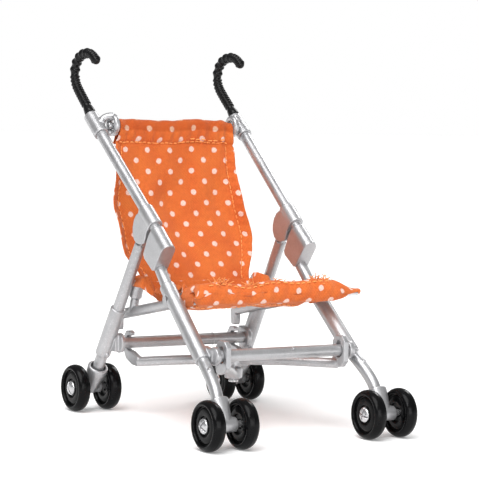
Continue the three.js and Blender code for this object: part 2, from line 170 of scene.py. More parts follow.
def fabric(name, dots=True, base=(0.64, 0.142, 0.026), deep=(0.54, 0.086, 0.016), light=(0.72, 0.235, 0.055)):
    """Plain-weave cotton with a printed half-drop grid of pale dots. UVs are in millimetres."""
    mt, nt, b = new_mat(name)
    L = nt.links
    uv = node(nt, "ShaderNodeUVMap", uv_map="cloth")
    sep = node(nt, "ShaderNodeSeparateXYZ")
    L.new(uv.outputs[0], sep.inputs[0])

    def m2(op, a, c=None, clamp=False):
        n = node(nt, "ShaderNodeMath", operation=op, use_clamp=clamp)
        for i, v in enumerate((a, c)):
            if v is None:
                continue
            if isinstance(v, (int, float)):
                n.inputs[i].default_value = v
            else:
                L.new(v, n.inputs[i])
        return n.outputs[0]

    noise = node(nt, "ShaderNodeTexNoise", i_Scale=1.1, i_Detail=5.0, i_Roughness=0.65)
    slow = node(nt, "ShaderNodeTexNoise", i_Scale=0.13, i_Detail=3.0, i_Roughness=0.5)
    L.new(uv.outputs[0], noise.inputs["Vector"])
    L.new(uv.outputs[0], slow.inputs["Vector"])
    # threads
    pitch = 0.36
    wu = m2("SINE", m2("MULTIPLY", sep.outputs[0], 2 * math.pi / pitch))
    wv = m2("SINE", m2("MULTIPLY", sep.outputs[1], 2 * math.pi / pitch))
    over = m2("MULTIPLY", m2("SINE", m2("MULTIPLY", sep.outputs[0], math.pi / pitch)), m2("SINE", m2("MULTIPLY", sep.outputs[1], math.pi / pitch)))
    weave = m2("ADD", m2("MULTIPLY", m2("ADD", wu, wv), 0.25), m2("MULTIPLY", over, 0.5))
    c0 = ramp(nt, slow.outputs["Fac"], [(0.3, deep), (0.72, base)])
    # painted highlight: the thread crowns are mixed towards the lighter colour, and the gaps between threads keep the
    # darker colour as painted shade
    c1 = node(nt, "ShaderNodeMix", data_type="RGBA", blend_type="MIX")
    c1.inputs[7].default_value = (*light, 1)
    L.new(m2("MULTIPLY", m2("ADD", weave, 0.55, True), 0.30), c1.inputs[0])
    L.new(c0.outputs[0], c1.inputs[6])
    out = c1.outputs[2]
    if dots:
        jit = node(nt, "ShaderNodeTexNoise", i_Scale=2.2, i_Detail=2.0)
        L.new(uv.outputs[0], jit.inputs["Vector"])
        dist = []
        for ox, oy in ((0.0, 0.0), (3.0, 2.55)):
            fx = m2("SUBTRACT", m2("MULTIPLY", m2("FRACT", m2("DIVIDE", m2("ADD", sep.outputs[0], ox + 600.0), 6.0)), 6.0), 3.0)
            fy = m2("SUBTRACT", m2("MULTIPLY", m2("FRACT", m2("DIVIDE", m2("ADD", sep.outputs[1], oy + 510.0), 5.1)), 5.1), 2.55)
            dist.append(m2("SQRT", m2("ADD", m2("MULTIPLY", fx, fx), m2("MULTIPLY", fy, fy))))
        d = m2("MINIMUM", dist[0], dist[1])
        d = m2("ADD", d, m2("MULTIPLY", m2("SUBTRACT", jit.outputs["Fac"], 0.5), 0.35))
        mask = node(nt, "ShaderNodeMapRange", clamp=True)
        mask.inputs["From Min"].default_value, mask.inputs["From Max"].default_value = 0.74, 0.56
        L.new(d, mask.inputs["Value"])
        keep = m2("MULTIPLY", mask.outputs[0], m2("SUBTRACT", 1.0, m2("MULTIPLY", m2("SUBTRACT", 0.35, weave, True), 0.35)))
        c2 = node(nt, "ShaderNodeMix", data_type="RGBA", blend_type="MIX")
        c2.inputs[7].default_value = (0.80, 0.60, 0.53, 1)
        L.new(keep, c2.inputs[0])
        L.new(out, c2.inputs[6])
        out = c2.outputs[2]
    # painted shade: the casing at the top of the backrest, the first ~10 mm along the cloth, is multiplied darker and
    # browner
    if dots:
        casing_shade_mask = node(nt, "ShaderNodeMapRange", clamp=True)
        casing_shade_mask.inputs["From Min"].default_value, casing_shade_mask.inputs["From Max"].default_value = 11.2, 10.7
        L.new(m2("ADD", sep.outputs[1], m2("MULTIPLY", noise.outputs["Fac"], 0.5)), casing_shade_mask.inputs["Value"])
        casing_shade = node(nt, "ShaderNodeMix", data_type="RGBA", blend_type="MULTIPLY")
        casing_shade.inputs[7].default_value = (0.76, 0.62, 0.48, 1)
        L.new(casing_shade_mask.outputs[0], casing_shade.inputs[0])
        L.new(out, casing_shade.inputs[6])
        out = casing_shade.outputs[2]
    sh = node(nt, "ShaderNodeMix", data_type="RGBA", blend_type="MULTIPLY")
    sh.inputs[0].default_value = 1.0
    var = ramp(nt, noise.outputs["Fac"], [(0.25, gray(0.86)), (0.75, gray(1.08))])
    L.new(out, sh.inputs[6])
    L.new(var.outputs[0], sh.inputs[7])
    L.new(sh.outputs[2], b.inputs["Base Color"])
    b.inputs["Roughness"].default_value = 0.88
    b.inputs["Sheen Weight"].default_value = 0.25
    b.inputs["Sheen Roughness"].default_value = 0.5
    b.inputs["Sheen Tint"].default_value = (1.0, 0.62, 0.45, 1)
    b.inputs["Specular IOR Level"].default_value = 0.25
    bump = node(nt, "ShaderNodeBump")
    bump.inputs["Strength"].default_value = 0.55
    bump.inputs["Distance"].default_value = 0.00008
    hh = m2("ADD", weave, m2("MULTIPLY", noise.outputs["Fac"], 0.9))
    L.new(hh, bump.inputs["Height"])
    L.new(bump.outputs[0], b.inputs["Normal"])
    return mt


CLOTH = fabric("dotted_cotton")
THREAD = fabric("thread", dots=False, base=(0.95, 0.36, 0.10), deep=(0.86, 0.25, 0.06), light=(1.0, 0.55, 0.22))


# ------------------------------------------------------------------ mesh tools
def frames(pts):
    pts = np.asarray(pts, float)
    t = np.gradient(pts, axis=0)
    t /= np.linalg.norm(t, axis=1)[:, None]
    a = np.array([1.0, 0, 0]) if abs(t[0][0]) < 0.8 else np.array([0, 0, 1.0])
    n = a - t[0] * a.dot(t[0])
    n /= np.linalg.norm(n)
    ns = [n]
    for i in range(1, len(pts)):
        n = ns[-1] - t[i] * ns[-1].dot(t[i])
        ns.append(n / np.linalg.norm(n))
    ns = np.array(ns)
    return pts, t, ns, np.cross(t, ns)


def sweep(pts, radii, seg=28, seam=0.0, cap=True):
    """Closed tube through the points (mm) with one radius at each; seam raises two parting lines."""
    pts, t, n, bn = frames(pts)
    radii = np.broadcast_to(np.asarray(radii, float), (len(pts),))
    th = np.arange(seg) * 2 * math.pi / seg
    prof = np.ones(seg)
    if seam:
        for c in (math.pi / 2, 3 * math.pi / 2):
            prof += seam * np.exp(-(((th - c + math.pi) % (2 * math.pi) - math.pi) / 0.11) ** 2)
    V = (pts[:, None, :] + radii[:, None, None] * prof[None, :, None] * (np.cos(th)[None, :, None] * n[:, None, :] + np.sin(th)[None, :, None] * bn[:, None, :])).reshape(-1, 3)
    F = []
    for i in range(len(pts) - 1):
        for j in range(seg):
            k = (j + 1) % seg
            F.append((i * seg + j, i * seg + k, (i + 1) * seg + k, (i + 1) * seg + j))
    if cap:
        F.append(tuple(range(seg))[::-1])
        F.append(tuple((len(pts) - 1) * seg + j for j in range(seg)))
    return V, F


def line(a, b, n=12):
    return np.linspace(np.asarray(a, float), np.asarray(b, float), n)


def tube(a, b, r0, r1=None, seg=28, ch=0.18, seam=0.0, n=10):
    """Straight tube with softly rounded ends."""
    r1 = r0 if r1 is None else r1
    a, b = np.asarray(a, float), np.asarray(b, float)
    l = np.linalg.norm(b - a)
    s = [0, ch * 0.15, ch * 0.45, ch] + list(np.linspace(ch, l - ch, n)[1:-1]) + [l - ch, l - ch * 0.45, l - ch * 0.15, l]
    s = np.array(s)
    r = r0 + (r1 - r0) * s / l
    r[0] -= ch; r[1] -= ch * 0.48; r[2] -= ch * 0.14
    r[-1] -= ch; r[-2] -= ch * 0.48; r[-3] -= ch * 0.14
    return sweep(a + (b - a) * (s / l)[:, None], r, seg, seam)


def smooth_path(ctrl, n):
    """Centripetal-like spline through the control points, sampled evenly."""
    c = np.asarray(ctrl, float)
    c = np.vstack([2 * c[0] - c[1], c, 2 * c[-1] - c[-2]])
    out = []
    for i in range(1, len(c) - 2):
        p0, p1, p2, p3 = c[i - 1:i + 3]
        for t in np.linspace(0, 1, 24, endpoint=False):
            out.append(0.5 * (2 * p1 + (p2 - p0) * t + (2 * p0 - 5 * p1 + 4 * p2 - p3) * t * t + (3 * p1 - p0 - 3 * p2 + p3) * t ** 3))
    out.append(c[-2])
    out = np.array(out)
    s = np.concatenate([[0], np.cumsum(np.linalg.norm(np.diff(out, axis=0), axis=1))])
    q = np.linspace(0, s[-1], n)
    return np.stack([np.interp(q, s, out[:, k]) for k in range(3)], 1), s[-1]


def lathe(profile, origin, axis, seg=48, loop=False):
    """Surface of revolution; profile is (h, r) along axis; loop closes the profile on itself."""
    o, ax = np.asarray(origin, float), np.asarray(axis, float)
    ax /= np.linalg.norm(ax)
    a = np.array([0, 0, 1.0]) if abs(ax[2]) < 0.8 else np.array([1.0, 0, 0])
    u = np.cross(ax, a); u /= np.linalg.norm(u)
    v = np.cross(ax, u)
    V, F = [], []
    for h, r in profile:
        for j in range(seg):
            t = 2 * math.pi * j / seg
            V.append(o + ax * h + r * (math.cos(t) * u + math.sin(t) * v))
    m_ = len(profile)
    for i in range(m_ if loop else m_ - 1):
        i2 = (i + 1) % m_
        for j in range(seg):
            k = (j + 1) % seg
            F.append((i * seg + j, i2 * seg + j, i2 * seg + k, i * seg + k))
    if not loop:
        F.append(tuple(range(seg)))
        F.append(tuple((m_ - 1) * seg + j for j in range(seg))[::-1])
    return np.array(V), F


def prism(outline, x0, x1):
    """Outline in (y, z), mm, extruded along X."""
    n = len(outline)
    V = [P(x0, y, z) for y, z in outline] + [P(x1, y, z) for y, z in outline]
    F = [tuple(range(n)), tuple(range(2 * n - 1, n - 1, -1))] + [(i, n + i, n + (i + 1) % n, (i + 1) % n) for i in range(n)]
    return np.array(V), F


def merged(parts):
    V, F, k = [], [], 0
    for v, f in parts:
        V.append(np.asarray(v)); F += [tuple(i + k for i in g) for g in f]; k += len(v)
    return np.vstack(V), F


def to_mesh(name, parts):
    V, F = merged(parts)
    me = bpy.data.meshes.new(name)
    me.from_pydata([tuple(p * MM) for p in V], [], F)
    bm = bmesh.new(); bm.from_mesh(me)
    bmesh.ops.recalc_face_normals(bm, faces=bm.faces)
    bm.to_mesh(me); bm.free()
    return me


def put(name, me, mat, body, nodes, angle=40):
    o = bpy.data.objects.new(name, me)
    bpy.context.scene.collection.objects.link(o)
    me.materials.clear()
    me.materials.append(mat)
    me.shade_smooth()
    if angle:
        me.set_sharp_from_angle(angle=math.radians(angle))
    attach(o, body)
    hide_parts(*nodes)
    return o


def piece(name, parts, mat, body, nodes, angle=40):
    return put(name, to_mesh(name, parts), mat, body, nodes, angle)


def mould(name, parts, mat, body, nodes, cuts=(), voxel=0.13, smooth=4, after=()):
    """One moulded piece: shapes fused, cut, and their corners softened."""
    o = bpy.data.objects.new(name + ".tmp", to_mesh(name + ".tmp", parts))
    bpy.context.scene.collection.objects.link(o)
    extra = []
    r = o.modifiers.new("r", "REMESH"); r.mode = "VOXEL"; r.voxel_size = voxel * MM
    for i, c in enumerate(cuts):
        q = bpy.data.objects.new(f"{name}.cut{i}", to_mesh(f"{name}.cut{i}", [c]))
        bpy.context.scene.collection.objects.link(q)
        extra.append(q)
        bo = o.modifiers.new(f"b{i}", "BOOLEAN"); bo.operation = "DIFFERENCE"; bo.object = q; bo.solver = "EXACT"
    if cuts:
        r = o.modifiers.new("r2", "REMESH"); r.mode = "VOXEL"; r.voxel_size = voxel * MM
    s = o.modifiers.new("s", "SMOOTH"); s.factor = 0.5; s.iterations = smooth
    bpy.context.view_layer.update()
    me = bpy.data.meshes.new_from_object(o.evaluated_get(bpy.context.evaluated_depsgraph_get()))
    me.name = name
    for q in extra + [o]:
        dm = q.data
        bpy.data.objects.remove(q, do_unlink=True)
        bpy.data.meshes.remove(dm)
    return put(name, me, mat, body, nodes, 0)


def lerp(a, b, t):
    return np.asarray(a) + (np.asarray(b) - np.asarray(a)) * t


def push_point(s, y):
    return P(s * (18.45 + (y + 1.6) * 0.033), y, 45.4 + (y + 1.6) * 0.7934)


H, F_, GBAR, FBAR = (2.1, 42.6), (-8.8, 28.6), (15.8, 16.5), (-27.4, 18.4)
TOP, FROD = (22.4, 66.0), (-20.0, 30.0)
FAX, RAX = (-37.3, 5.4), (24.4, 5.4)


# ------------------------------------------------------------------ frame pieces
def grip(s, side):
    ctrl = [(24.2, 80.45), (26.9, 82.2), (29.5, 82.6), (32.2, 82.15), (34.3, 80.9), (35.4, 79.0), (35.5, 77.2), (34.7, 75.3), (32.6, 73.3), (29.7, 70.9), (27.25, 68.75)]
    n = 620
    pts, length = smooth_path([P(s * 19.4, y, z) for y, z in ctrl], n)
    d = np.linspace(0, length, n)
    core, rib = 0.93, 1.18
    r = np.full(n, core)
    # rounded end
    r = np.where(d < 1.1, core * np.sqrt(np.clip(1 - ((1.1 - d) / 1.1) ** 2, 0.0, 1)) * 1.0 + 0.12, r)
    for c, w, h in [(1.2, .26, .16), (1.95, .26, .18), (2.7, .26, .18), (3.45, .26, .18), (4.2, .26, .18)]:
        r = np.maximum(r, core + h * np.exp(-((d - c) / w) ** 2 * 1.6)) if False else r + h * np.exp(-((d - c) / w) ** 2)
    k = length / 31.0
    for c in (6.6, 8.9, 11.1, 13.3, 15.4):
        r = r + 0.30 * np.exp(-((d - c * k) / 0.52) ** 2)
    for c in np.arange(17.4, 28.6, 1.02):
        r = r + 0.25 * np.exp(-((d - c * k) / 0.30) ** 2)
    # collar and tapering neck into the socket
    r = np.where(d > 28.9 * k, 1.12 + 0.16 * np.clip((d - 28.9 * k) / 1.2, 0, 1), r)
    r[0] = 0.05
    return piece(f"grip_{side}.ribbed", [sweep(pts, r, 32, 0.012)], GRIP, "front_frame", [f"grip_{side}"], 0)


def disc(x0, x1, yz, r, ch=0.2, seg=40):
    return tube(P(x0, *yz), P(x1, *yz), r, r, seg, ch, n=4)


def oriented(a, b, r, **kw):
    return tube(a, b, r, r, **kw)


for side, s in (("left", -1), ("right", 1)):
    grip(s, side)
    # socket with the C-shaped eyelet of the backrest rod
    s0, s1 = push_point(s, 27.15), push_point(s, 21.85)
    ring_ = [(0.74 * math.cos(q), 1.93 + 0.66 * math.sin(q)) for q in np.arange(20) * math.pi / 10]
    hook_, _ = smooth_path([P(s * 18.6, 23.3, 66.6), P(s * 17.9, 23.5, 67.6), P(s * 16.9, 23.0, 68.1), P(s * 15.9, 22.3, 68.15)], 30)
    arm_, _ = smooth_path([P(s * 18.6, 22.3, 64.9), P(s * 17.5, 22.9, 64.6), P(s * 16.2, 22.8, 64.25)], 20)
    parts = [tube(s1, s0, 1.78, 1.66, 36, 0.25), lathe(ring_, P(s * 15.95, TOP[0] + 0.05, TOP[1] + 0.2), (1, 0, 0), 64, True), sweep(hook_, 0.9, 28), sweep(arm_, 0.75, 24)]
    cuts = []
    mould(f"handle_socket_{side}.moulded", parts, SILVER, "front_frame", [f"handle_socket_{side}"], cuts, 0.10, 9)
    # push tube
    piece(f"push_tube_{side}.tube", [tube(push_point(s, 1.4), push_point(s, 21.8), 1.32, 1.32, 36, 0.08, 0.02, 24)], SILVER, "front_frame", [f"push_tube_{side}"])
    # hinge bracket
    bx = s * 18.4
    b0, b1 = push_point(s, 1.6), push_point(s, -2.9)
    ear = [(0.6, 47.1), (1.9, 47.25), (3.1, 46.6), (4.0, 45.4), (4.5, 43.9), (4.45, 42.4), (3.8, 41.1), (2.9, 40.45), (1.5, 40.15), (-0.7, 40.5), (-1.2, 41.3), (-1.75, 42.8), (-2.55, 44.2)]
    parts = [tube(b1, b0, 1.78, 1.78, 36, 0.16), prism(ear, bx - 1.78, bx + 1.78), tube(P(bx, -2.51, 44.39), P(bx, -4.7, 42.65), 1.08, 1.08, 28, 0.1)]
    cuts = [prism([(-0.1, 41.0), (0.1, 43.4), (1.0, 44.45), (2.6, 44.6), (5.5, 44.6), (5.5, 39.0), (-1.5, 39.0), (-1.5, 40.6)], bx - 0.92, bx + 0.92),
            prism([(-2.6, 44.1), (-1.9, 42.6), (-4.4, 40.4), (-6.6, 42.6)], bx - 3, bx + 3)] if False else [prism([(-0.1, 41.0), (0.1, 43.4), (1.0, 44.45), (2.6, 44.6), (5.5, 44.6), (5.5, 39.0), (-1.5, 39.0), (-1.5, 40.6)], bx - 0.92, bx + 0.92)]
    mould(f"hinge_bracket_{side}.moulded", parts, SILVER, "front_frame", [f"hinge_bracket_{side}"], cuts, 0.11, 3)
    piece(f"hinge_pin_{side}.pin", [tube(P(bx - 1.74, *H), P(bx + 1.74, *H), 0.55, 0.55, 24, 0.08)], STEEL, "front_frame", [f"hinge_pin_{side}"])
    # lock block
    outline = [(-3.55, 43.35), (-8.75, 39.25), (-5.45, 34.9), (-4.75, 34.85), (-0.95, 37.3), (-0.6, 38.2), (-2.1, 41.3), (-2.75, 42.35)]
    parts = [tube(P(bx, -3.55, 43.35), P(bx, -8.75, 39.25), 1.74, 1.74, 40, 0.16), prism(outline, bx - 1.74, bx + 1.74)]
    mould(f"lock_block_{side}.moulded", parts, SILVER, "front_frame", [f"lock_block_{side}"], (), 0.11, 3)
    # front leg
    leg_top, sl_top, sl_end = P(s * 18.4, -6.05, 34.5), P(s * 18.5, -8.75, 31.75), P(s * 19.1, -25.95, 17.3)
    piece(f"front_upper_tube_{side}.tube", [tube(lerp(leg_top, sl_top, -0.3), lerp(leg_top, sl_top, 1.05), 1.32, 1.32, 36, 0.05, 0.02)], SILVER, "front_frame", [f"front_upper_tube_{side}"])
    lug = [(-9.6, 31.9), (-10.3, 28.6), (-9.7, 27.3), (-8.6, 26.9), (-7.5, 27.4), (-7.1, 28.6), (-7.7, 31.4)]
    arm = [(-27.6, 17.2), (-23.4, 18.2), (-23.6, 20.3), (-27.4, 19.7)]
    parts = [tube(sl_end, sl_top, 1.75, 1.75, 40, 0.28, 0.022, 24), prism(lug, s * 17.25, s * 18.8), disc(s * 14.5, s * 17.8, F_, 0.55, 0.1, 24),
             disc(s * 16.3, s * 17.65, FBAR, 2.0, 0.35), prism(arm, s * 16.7, s * 17.9)]
    nick = prism([(-10.95, 30.15), (-12.35, 29.55), (-11.85, 28.3), (-11.3, 28.6)], s * 19.55, s * 21.2)
    mould(f"front_leg_sleeve_{side}.moulded", parts, SILVER, "front_frame", [f"front_leg_sleeve_{side}"], (nick,), 0.11, 3)
    low, _ = smooth_path([lerp(sl_top, sl_end, 0.97), lerp(sl_top, sl_end, 1.04), P(s * 19.35, -28.4, 15.5), P(s * 19.65, -30.9, 13.6), P(s * 19.9, -32.9, 11.6), P(s * 20.1, -34.2, 9.5)], 60)
    parts = [sweep(low, 1.32, 36, 0.02), tube(P(s * 19.6, -29.2, 15.2), P(s * 19.6, -29.95, 16.35), 0.55, 0.42, 20, 0.15)]
    mould(f"front_lower_leg_{side}.moulded", parts, SILVER, "front_frame", [f"front_lower_leg_{side}"], (), 0.12, 2)
    # front carrier: forked cup and axle tube
    fx = s * 20.1
    tilt = lerp(P(fx, -34.0, 10.0), P(fx, *FAX), 0.0)
    axp = P(fx, *FAX)
    dirv = (tilt - axp) / np.linalg.norm(tilt - axp)
    parts = [tube(axp, tilt, 1.55, 2.35, 36, 0.25), disc(fx - 2.35, fx + 2.35, FAX, 1.58, 0.12)]
    cuts = [tube(lerp(axp, tilt, 0.62), lerp(axp, tilt, 1.3), 1.62, 1.62, 32, 0.02)]
    mould(f"front_wheel_carrier_{side}.moulded", parts, SILVER, "front_frame", [f"front_wheel_carrier_{side}"], cuts, 0.12, 4)

    # rear leg
    r_top, r_axle = P(s * 18.4, *H), P(s * 19.5, *RAX)
    at = lambda t: lerp(r_top, r_axle, t)
    nrm = np.array([0, 0.8817, 0.4717]) * 1.1
    blade = [(H[0] + 0.97 - 0.4, H[1] + 0.52 + 0.6), (H[0] - 0.97 - 0.1, H[1] - 0.52 + 1.2)]
    b2 = lambda t: (H[0] + (RAX[0] - H[0]) * t, H[1] + (RAX[1] - H[1]) * t)
    q0, q1 = b2(0.0), b2(0.1)
    blade = [(q0[0] - 0.97, q0[1] - 0.52), (q1[0] - 0.97, q1[1] - 0.52), (q1[0] + 0.97, q1[1] + 0.52), (q0[0] + 0.97, q0[1] + 0.52)]
    parts = [tube(at(0.064), at(0.5), 1.32, 1.32, 36, 0.22, 0.02, 24), prism(blade, bx - 0.62, bx + 0.62), disc(bx - 0.62, bx + 0.62, H, 1.6, 0.15)]
    cuts = [disc(bx - 2, bx + 2, H, 0.72, 0.01, 24)]
    mould(f"rear_leg_{side}.moulded", parts, SILVER, "rear_legs", [f"rear_leg_{side}"], cuts, 0.13, 3)
    web = [(15.2, 18.4), (18.6, 19.0), (19.6, 15.6), (17.0, 14.6), (15.0, 14.6)]
    parts = [tube(at(0.478), at(0.78), 1.76, 1.76, 40, 0.3, 0.022, 20), disc(s * 16.25, s * 17.35, GBAR, 2.25, 0.22), prism(web, s * 16.6, s * 18.4),
             tube(P(s * 19.2, 18.6, 14.5), P(s * 19.2, 17.1, 13.2), 0.75, 0.55, 20, 0.2)]
    mould(f"rear_sleeve_{side}.moulded", parts, SILVER, "rear_legs", [f"rear_sleeve_{side}"], (), 0.12, 4)
    piece(f"rear_foot_{side}.tube", [tube(at(0.77), at(0.94), 1.32, 1.32, 36, 0.1, 0.02)], SILVER, "rear_legs", [f"rear_foot_{side}"])
    top = at(0.86)
    cd = (r_axle - r_top) / np.linalg.norm(r_axle - r_top)
    prof = [(0.0, 2.15), (0.1, 2.32), (0.35, 2.4), (1.6, 2.36), (3.0, 2.1), (4.6, 1.75), (6.2, 1.45), (6.9, 1.3), (7.05, 1.1)]
    cup = lathe(prof, top, cd, 40)
    parts = [cup, disc(s * 19.5 - 2.35, s * 19.5 + 2.35, RAX, 1.3, 0.12)]
    cuts = [tube(lerp(top, r_axle, -0.1), lerp(top, r_axle, 0.42), 1.85, 1.6, 32, 0.02)]
    mould(f"rear_wheel_carrier_{side}.moulded", parts, SILVER, "rear_legs", [f"rear_wheel_carrier_{side}"], cuts, 0.12, 4)

    # wheels and axles
    tyre = [(1.10, 0.55), (1.98, 0.58), (2.06, 0.64), (2.12, 0.98), (2.22, 1.08), (2.45, 1.12), (3.0, 1.08), (3.55, 0.98), (3.68, 0.9), (3.74, 0.72), (3.86, 0.66), (3.98, 0.72), (4.03, 0.98), (4.1, 1.22),
            (4.2, 1.38), (4.36, 1.48), (4.55, 1.49), (4.75, 1.43), (4.95, 1.28), (5.12, 1.06), (5.26, 0.78), (5.35, 0.45), (5.385, 0.12), (5.4, 0.05)]
    prof = [(h, r) for r, h in tyre] + [(-h, r) for r, h in reversed(tyre)]
    for end, px, (ay, az_), body in (("front", 20.1, FAX, "front_frame"), ("rear", 19.5, RAX, "rear_legs")):
        for which, off in (("outer", 4.05), ("inner", -4.05)):
            n_ = f"wheel_{end}_{side}_{which}"
            piece(f"{n_}.tyre", [lathe(prof, P(s * (px + off), ay, az_), (1, 0, 0), 72, True)], BLACK, n_, [n_], 38)
        half = 4.05 + 0.92
        parts = [tube(P(s * px - half, ay, az_), P(s * px + half, ay, az_), 0.82, 0.82, 28, 0.02)]
        cuts = []
        for d_ in (-1, 1):
            dome = [(0, 1.62), (0.12, 1.68), (0.35, 1.66), (0.6, 1.45), (0.82, 1.05), (0.95, 0.6), (1.0, 0.2), (1.0, 0.05)]
            parts.append(lathe([(h * d_, r) for h, r in dome], P(s * px + d_ * half, ay, az_), (1, 0, 0), 40))
            turn = math.radians(62 if end == "rear" else (35 if s < 0 else 15))
            for k_ in range(1 if end == "rear" else 2):
                a_ = turn + k_ * math.pi / 2
                c_, sn = math.cos(a_), math.sin(a_)
                w_, l_ = 0.17, 2.2
                quad = [(ay + c_ * l_ - sn * w_, az_ + sn * l_ + c_ * w_), (ay - c_ * l_ - sn * w_, az_ - sn * l_ + c_ * w_), (ay - c_ * l_ + sn * w_, az_ - sn * l_ - c_ * w_), (ay + c_ * l_ + sn * w_, az_ + sn * l_ - c_ * w_)]
                xa = s * px + d_ * (half + 0.3)
                cuts.append(prism(quad, xa, xa + d_ * 1.5))
        mould(f"{end}_axle_{side}.moulded", parts, STEEL, body, [f"{end}_axle_{side}"], cuts, 0.09, 2)

    # seat rail
    def bar(p, q, h):
        dy, dz = q[0] - p[0], q[1] - p[1]
        l = math.hypot(dy, dz)
        ny, nz = -dz / l * h / 2, dy / l * h / 2
        return [(p[0] - ny, p[1] - nz), (q[0] - ny, q[1] - nz), (q[0] + ny, q[1] + nz), (p[0] + ny, p[1] + nz)]
    x0, x1 = s * 14.8, s * 16.5
    xr = s * 15.65
    sock, _ = smooth_path([P(xr, 10.9, 27.3), P(xr, 10.5, 28.6), P(xr, 9.9, 30.0), P(xr, 9.0, 31.4)], 40)
    sr = np.full(40, 1.5); sr[:3] = (0.9, 1.3, 1.45); sr[-2:] = (1.52, 1.42)
    post, _ = smooth_path([P(xr, 11.7, 23.8), P(xr, 11.4, 25.6), P(xr, 10.7, 27.8)], 24)
    main = line(P(xr, 18.9, 22.66), P(xr, -18.6, 29.9), 40)
    mr = np.full(40, 1.2); mr[0], mr[1] = 0.85, 1.12
    mv, mf = sweep(main, mr, 32, 0.02)
    mv[:, 0] = xr + (mv[:, 0] - xr) * 0.78
    parts = [(mv, mf), prism([(17.4, 23.0), (17.6, 19.5), (18.2, 19.25), (19.3, 19.4), (19.65, 22.6), (19.0, 23.5)], s * 14.85, s * 16.45), sweep(post, 1.05, 28), sweep(sock, sr, 36),
             disc(x0, x1, FROD, 1.3, 0.3), disc(x0, x1, F_, 1.6, 0.25)]
    cuts = [disc(s * 14, s * 18, F_, 0.75, 0.01, 24), disc(s * 14, s * 18, FROD, 0.85, 0.01, 24), tube(P(xr, 9.4, 30.8), P(xr, 8.0, 32.9), 1.1, 1.1, 24, 0.01)]
    mould(f"seat_rail_{side}.moulded", parts, SILVER, "seat_frame", [f"seat_rail_{side}"], cuts, 0.13, 4)

# crossbars and rods
piece("front_crossbar.tube", [tube(P(-16.35, *FBAR), P(16.35, *FBAR), 1.32, 1.32, 40, 0.05, 0.02, 40), tube(P(2.0, -28.3, 19.3), P(2.0, -28.55, 19.6), 0.4, 0.3, 16, 0.1)], SILVER, "front_frame", ["front_crossbar"])
ring = [tube(P(x - 0.18, *GBAR), P(x + 0.18, *GBAR), 1.42, 1.42, 40, 0.1) for x in (7.8,)]
piece("rear_crossbar.tube", [tube(P(-16.3, *GBAR), P(16.3, *GBAR), 1.32, 1.32, 40, 0.05, 0.02, 40)] + ring, SILVER, "rear_legs", ["rear_crossbar"])
piece("backrest_rod.rod", [tube(P(-17.3, *TOP), P(17.3, *TOP), 0.75, 0.75, 28, 0.15, 0.0, 20)], STEEL, "front_frame", ["backrest_rod"])
piece("seat_front_rod.rod", [tube(P(-17.0, *FROD), P(24.1, *FROD), 0.62, 0.62, 28, 0.3, 0.0, 20)], STEEL, "seat_frame", ["seat_front_rod"])

# cross brace
eye = [(-29.7, 16.0), (-28.6, 14.8), (-26.2, 14.4), (-25.1, 15.6), (-25.0, 20.3), (-26.1, 21.6), (-28.6, 21.6), (-29.7, 20.4)]
hook = [(11.6, 11.4), (14.4, 11.6), (17.2, 12.7), (18.3, 14.4), (18.4, 17.6), (17.3, 19.1), (15.6, 19.3), (15.0, 18.9), (15.05, 18.15), (16.3, 18.15), (17.15, 17.4), (17.4, 16.5), (17.15, 15.4), (16.3, 14.85), (14.4, 14.6), (11.6, 13.6)]
for nm, s, lift, z0, z1 in (("a", 1, 1.5, 13.17, 15.6), ("b", -1, -1.5, 10.4, 12.83)):
    f, r = P(s * 14.95, -26.4, 15.3), P(-s * 13.9, 12.3, 12.45)
    pth = [f, lerp(f, r, 0.25) + np.array([0, 0, lift * 0.35]), P(0, -7.0, 13.0 + lift), lerp(f, r, 0.75) + np.array([0, 0, lift * 0.35]), r]
    pts, _ = smooth_path(pth, 80)
    parts = [sweep(pts, 1.1, 32, 0.02), prism(eye, s * 14.35, s * 15.55), prism(hook, -s * 13.3, -s * 14.5), tube(P(0, -7.0, z0), P(0, -7.0, z1), 2.0, 2.0, 36, 0.25)]
    slot_ = disc(s * 13, s * 17, (-27.4, 18.4), 1.55, 0.01, 28)
    slot2 = disc(s * 13, s * 17, (-27.4, 19.6), 0.9, 0.01, 28)
    bore = tube(P(0, -7.0, 8), P(0, -7.0, 18), 0.62, 0.62, 24, 0.01)
    mould(f"brace_link_{nm}.moulded", parts, SILVER, "cross_brace", [f"brace_link_{nm}"], [slot_, slot2, bore], 0.14, 3)
piece("brace_pin.pin", [tube(P(0, -7.0, 9.7), P(0, -7.0, 16.1), 0.55, 0.55, 24, 0.05), lathe([(0, 1.15), (0.1, 1.25), (0.3, 1.15), (0.5, 0.75), (0.56, 0.2)], P(0, -7.0, 15.85), (0, 0, 1), 32), tube(P(0, -7.0, 9.6), P(0, -7.0, 10.05), 1.1, 1.1, 28, 0.12)], STEEL, "cross_brace", ["brace_pin"])


